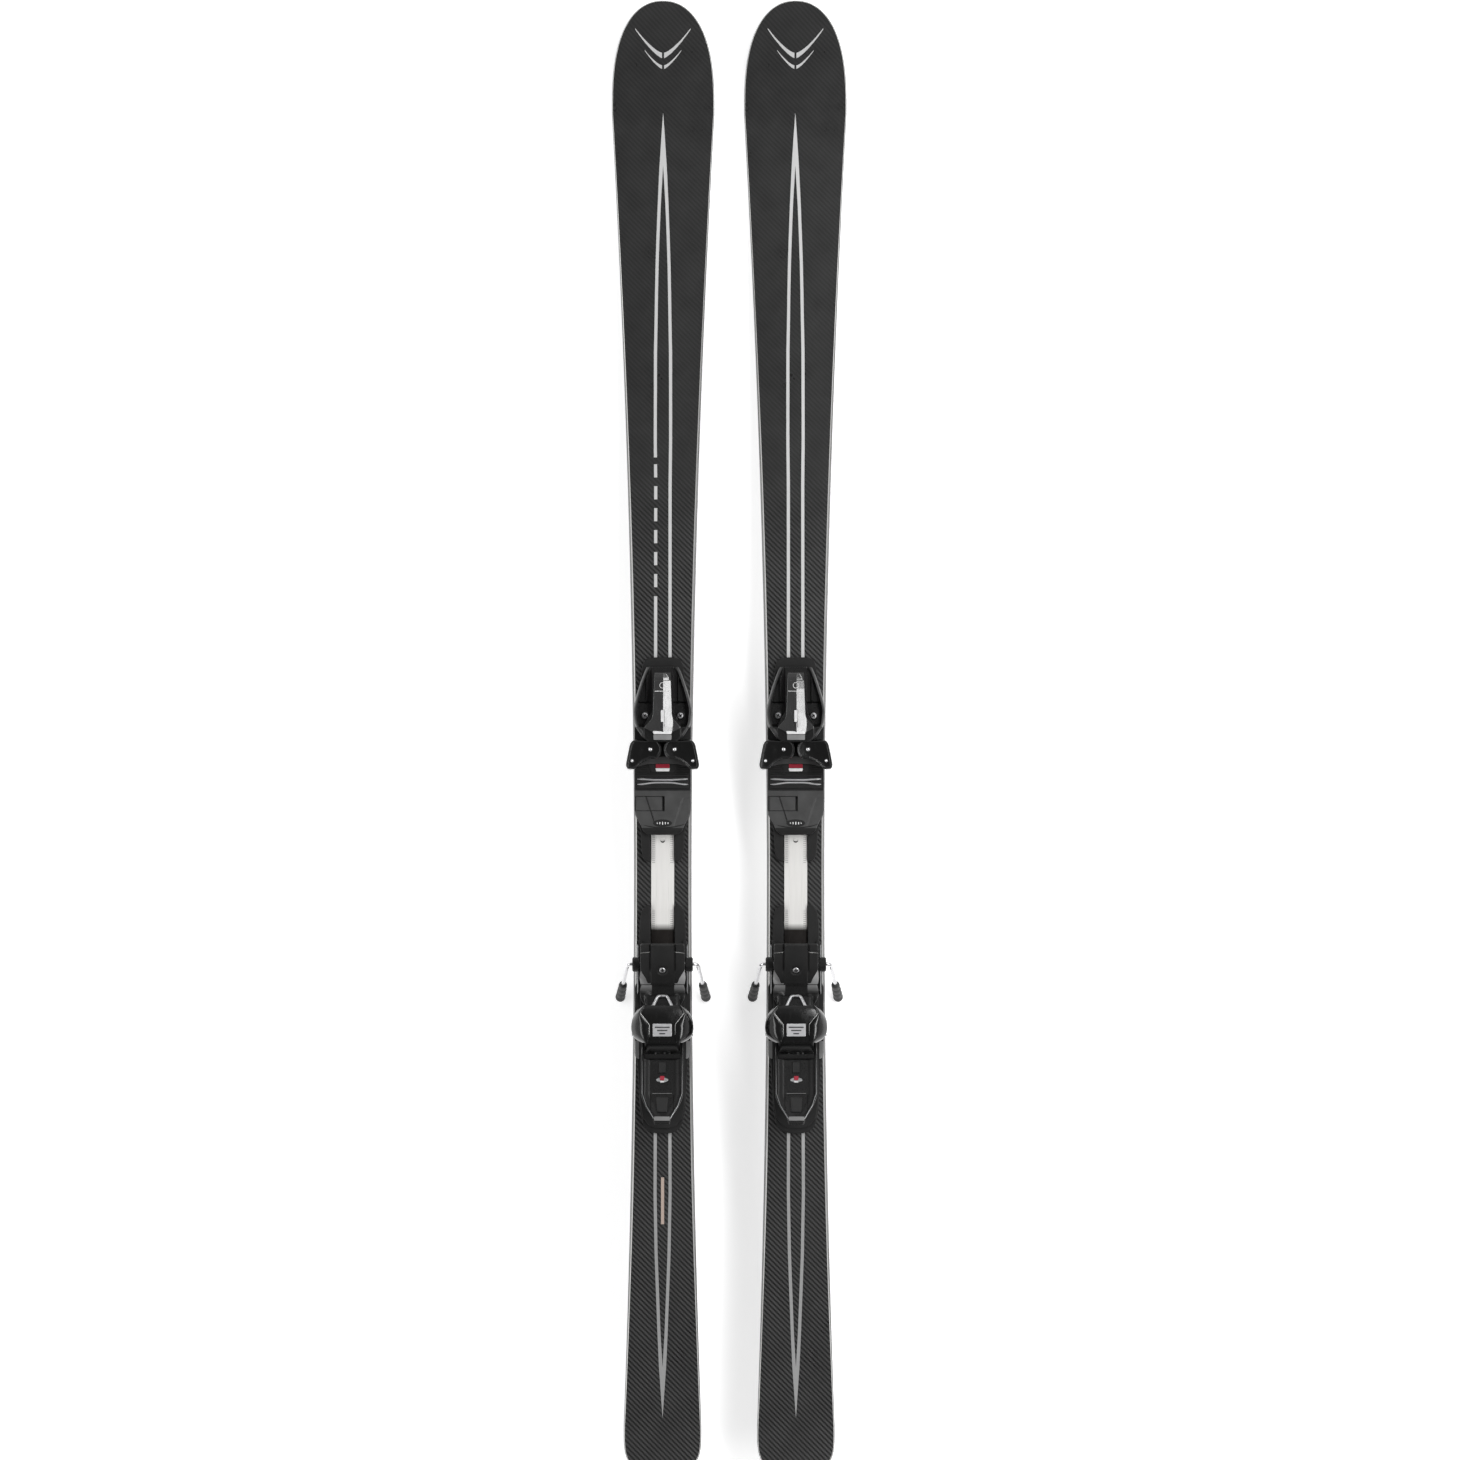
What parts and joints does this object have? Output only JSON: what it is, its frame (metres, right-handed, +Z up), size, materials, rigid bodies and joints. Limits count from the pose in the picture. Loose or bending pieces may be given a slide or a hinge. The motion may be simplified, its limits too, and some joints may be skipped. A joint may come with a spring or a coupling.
{
  "type": "pair of alpine skis with bindings",
  "caption": "Pair of carving skis with step-in rail bindings, sprung toe wings, heel pieces with opening levers, and ski brakes open.",
  "frame": {"origin": "bottom centre of the pair's box, on the floor midway between the two skis", "axes": "+Y along both skis towards the tips, +Z up from the floor, +X from the left ski to the right one"},
  "size_m": [0.2736, 1.6982, 0.1685],
  "materials": {
    "topsheet": "satin clear layer over a carbon weave, silver inlaid lines",
    "base": "waxed sintered base",
    "edge": "ground steel",
    "sidewall": "milled grey sidewall",
    "core": "laminated hardwood",
    "matte_black": "fine moulded grain",
    "gloss_black": "polished moulding",
    "pedal_grey": "ribbed matte moulding",
    "band": "satin anodised",
    "bright_steel": "bright plated steel"
  },
  "bodies": {
    "right_ski": {"right_running_base": "base", "right_steel_edge": "edge", "right_sidewall": "sidewall", "right_wood_core": "core", "right_topsheet": "topsheet", "right_front_rail": "matte_black", "right_rear_rail": "matte_black", "right_length_band": "band"},
    "right_toe_unit": {"right_toe_carriage": "matte_black", "right_toe_housing": "gloss_black", "right_toe_cover": "gloss_black", "right_wing_pin_left": "bright_steel", "right_wing_pin_right": "bright_steel", "right_toe_spring": "bright_steel"},
    "right_toe_screw_body": {"right_toe_screw": "bright_steel"},
    "right_lock_button_body": {"right_lock_button": "matte_black"},
    "right_friction_plate_body": {"right_friction_plate": "bright_steel"},
    "right_toe_wing_left_body": {"right_toe_wing_left": "gloss_black"},
    "right_toe_wing_right_body": {"right_toe_wing_right": "gloss_black"},
    "right_heel_unit": {"right_heel_carriage": "matte_black", "right_heel_housing": "gloss_black", "right_heel_axle": "bright_steel", "right_heel_spring": "bright_steel"},
    "right_heel_screw_body": {"right_heel_screw": "bright_steel"},
    "right_heel_lever_body": {"right_heel_lever": "gloss_black"},
    "right_heel_cup_body": {"right_heel_cup": "gloss_black"},
    "right_brake": {"right_brake_wire": "bright_steel", "right_brake_tip_left": "matte_black", "right_brake_tip_right": "matte_black"},
    "right_brake_pedal_body": {"right_brake_pedal": "pedal_grey"},
    "left_ski": {"left_running_base": "base", "left_steel_edge": "edge", "left_sidewall": "sidewall", "left_wood_core": "core", "left_topsheet": "topsheet", "left_front_rail": "matte_black", "left_rear_rail": "matte_black", "left_length_band": "band"},
    "left_toe_unit": {"left_toe_carriage": "matte_black", "left_toe_housing": "gloss_black", "left_toe_cover": "gloss_black", "left_wing_pin_left": "bright_steel", "left_wing_pin_right": "bright_steel", "left_toe_spring": "bright_steel"},
    "left_toe_screw_body": {"left_toe_screw": "bright_steel"},
    "left_lock_button_body": {"left_lock_button": "matte_black"},
    "left_friction_plate_body": {"left_friction_plate": "bright_steel"},
    "left_toe_wing_left_body": {"left_toe_wing_left": "gloss_black"},
    "left_toe_wing_right_body": {"left_toe_wing_right": "gloss_black"},
    "left_heel_unit": {"left_heel_carriage": "matte_black", "left_heel_housing": "gloss_black", "left_heel_axle": "bright_steel", "left_heel_spring": "bright_steel"},
    "left_heel_screw_body": {"left_heel_screw": "bright_steel"},
    "left_heel_lever_body": {"left_heel_lever": "gloss_black"},
    "left_heel_cup_body": {"left_heel_cup": "gloss_black"},
    "left_brake": {"left_brake_wire": "bright_steel", "left_brake_tip_left": "matte_black", "left_brake_tip_right": "matte_black"},
    "left_brake_pedal_body": {"left_brake_pedal": "pedal_grey"}
  },
  "joints": [
    {"name": "right_toe_slide", "type": "slide", "parent": "right_ski", "child": "right_toe_unit", "axis": [0, 0.9984, -0.0572], "range_m": [-0.012, 0.012]},
    {"name": "right_toe_release_screw", "type": "hinge", "parent": "right_toe_unit", "child": "right_toe_screw_body", "pos_m": [0.077, 0.06708, 0.07545], "axis": [0, 0.9984, -0.0572], "range_deg": [-1350, 1350]},
    {"name": "right_lock_button_press", "type": "slide", "parent": "right_toe_unit", "child": "right_lock_button_body", "axis": [0, -0.0572, -0.9984], "range_m": [0, 0.0012], "stiffness_N_per_m": 400, "springref_m": -0.001},
    {"name": "right_friction_plate_shift", "type": "slide", "parent": "right_toe_unit", "child": "right_friction_plate_body", "axis": [1, 0, 0], "range_m": [-0.006, 0.006], "stiffness_N_per_m": 300},
    {"name": "right_toe_wing_left_swing", "type": "hinge", "parent": "right_toe_unit", "child": "right_toe_wing_left_body", "pos_m": [0.063, -0.0192, 0.0854], "axis": [0, -0.0572, -0.9984], "range_deg": [0, 30], "stiffness_Nm_per_rad": 1, "springref_deg": -17.19},
    {"name": "right_toe_wing_right_swing", "type": "hinge", "parent": "right_toe_unit", "child": "right_toe_wing_right_body", "pos_m": [0.091, -0.0192, 0.0854], "axis": [0, 0.0572, 0.9984], "range_deg": [0, 30], "stiffness_Nm_per_rad": 1, "springref_deg": -17.19},
    {"name": "right_heel_slide", "type": "slide", "parent": "right_ski", "child": "right_heel_unit", "axis": [0, 0.9984, -0.0572], "range_m": [-0.012, 0.012]},
    {"name": "right_heel_release_screw", "type": "hinge", "parent": "right_heel_unit", "child": "right_heel_screw_body", "pos_m": [0.077, -0.43009, 0.10424], "axis": [0, 0.9984, -0.0572], "range_deg": [-1350, 1350]},
    {"name": "right_heel_lever_lift", "type": "hinge", "parent": "right_heel_unit", "child": "right_heel_lever_body", "pos_m": [0.077, -0.34707, 0.10219], "axis": [-1, 0, 0], "range_deg": [0, 38]},
    {"name": "right_heel_cup_turn", "type": "hinge", "parent": "right_heel_unit", "child": "right_heel_cup_body", "pos_m": [0.077, -0.34707, 0.10219], "axis": [-1, 0, 0], "range_deg": [0, 31]},
    {"name": "right_brake_fold", "type": "hinge", "parent": "right_heel_unit", "child": "right_brake", "pos_m": [0.077, -0.26683, 0.08657], "axis": [-1, 0, 0], "range_deg": [0, 62], "stiffness_Nm_per_rad": 2, "springref_deg": -68.75},
    {"name": "right_brake_pedal_tread", "type": "hinge", "parent": "right_heel_unit", "child": "right_brake_pedal_body", "pos_m": [0.077, -0.28771, 0.08927], "axis": [-1, 0, 0], "range_deg": [0, 31.5]},
    {"name": "left_toe_slide", "type": "slide", "parent": "left_ski", "child": "left_toe_unit", "axis": [0, 0.9984, -0.0572], "range_m": [-0.012, 0.012]},
    {"name": "left_toe_release_screw", "type": "hinge", "parent": "left_toe_unit", "child": "left_toe_screw_body", "pos_m": [-0.077, 0.06708, 0.07545], "axis": [0, 0.9984, -0.0572], "range_deg": [-1350, 1350]},
    {"name": "left_lock_button_press", "type": "slide", "parent": "left_toe_unit", "child": "left_lock_button_body", "axis": [0, -0.0572, -0.9984], "range_m": [0, 0.0012], "stiffness_N_per_m": 400, "springref_m": -0.001},
    {"name": "left_friction_plate_shift", "type": "slide", "parent": "left_toe_unit", "child": "left_friction_plate_body", "axis": [1, 0, 0], "range_m": [-0.006, 0.006], "stiffness_N_per_m": 300},
    {"name": "left_toe_wing_left_swing", "type": "hinge", "parent": "left_toe_unit", "child": "left_toe_wing_left_body", "pos_m": [-0.091, -0.0192, 0.0854], "axis": [0, -0.0572, -0.9984], "range_deg": [0, 30], "stiffness_Nm_per_rad": 1, "springref_deg": -17.19},
    {"name": "left_toe_wing_right_swing", "type": "hinge", "parent": "left_toe_unit", "child": "left_toe_wing_right_body", "pos_m": [-0.063, -0.0192, 0.0854], "axis": [0, 0.0572, 0.9984], "range_deg": [0, 30], "stiffness_Nm_per_rad": 1, "springref_deg": -17.19},
    {"name": "left_heel_slide", "type": "slide", "parent": "left_ski", "child": "left_heel_unit", "axis": [0, 0.9984, -0.0572], "range_m": [-0.012, 0.012]},
    {"name": "left_heel_release_screw", "type": "hinge", "parent": "left_heel_unit", "child": "left_heel_screw_body", "pos_m": [-0.077, -0.43009, 0.10424], "axis": [0, 0.9984, -0.0572], "range_deg": [-1350, 1350]},
    {"name": "left_heel_lever_lift", "type": "hinge", "parent": "left_heel_unit", "child": "left_heel_lever_body", "pos_m": [-0.077, -0.34707, 0.10219], "axis": [-1, 0, 0], "range_deg": [0, 38]},
    {"name": "left_heel_cup_turn", "type": "hinge", "parent": "left_heel_unit", "child": "left_heel_cup_body", "pos_m": [-0.077, -0.34707, 0.10219], "axis": [-1, 0, 0], "range_deg": [0, 31]},
    {"name": "left_brake_fold", "type": "hinge", "parent": "left_heel_unit", "child": "left_brake", "pos_m": [-0.077, -0.26683, 0.08657], "axis": [-1, 0, 0], "range_deg": [0, 62], "stiffness_Nm_per_rad": 2, "springref_deg": -68.75},
    {"name": "left_brake_pedal_tread", "type": "hinge", "parent": "left_heel_unit", "child": "left_brake_pedal_body", "pos_m": [-0.077, -0.28771, 0.08927], "axis": [-1, 0, 0], "range_deg": [0, 31.5]},
    {"name": "left_ski_glide", "type": "slide", "parent": "right_ski", "child": "left_ski", "axis": [0, 1, 0], "range_m": [-0.3, 0.3]}
  ],
  "couplings": [
    {"joint": "right_heel_cup_turn", "follows": "right_heel_lever_lift", "ratio": 0.8},
    {"joint": "right_brake_pedal_tread", "follows": "right_brake_fold", "ratio": 0.5},
    {"joint": "left_heel_cup_turn", "follows": "left_heel_lever_lift", "ratio": 0.8},
    {"joint": "left_brake_pedal_tread", "follows": "left_brake_fold", "ratio": 0.5}
  ]
}
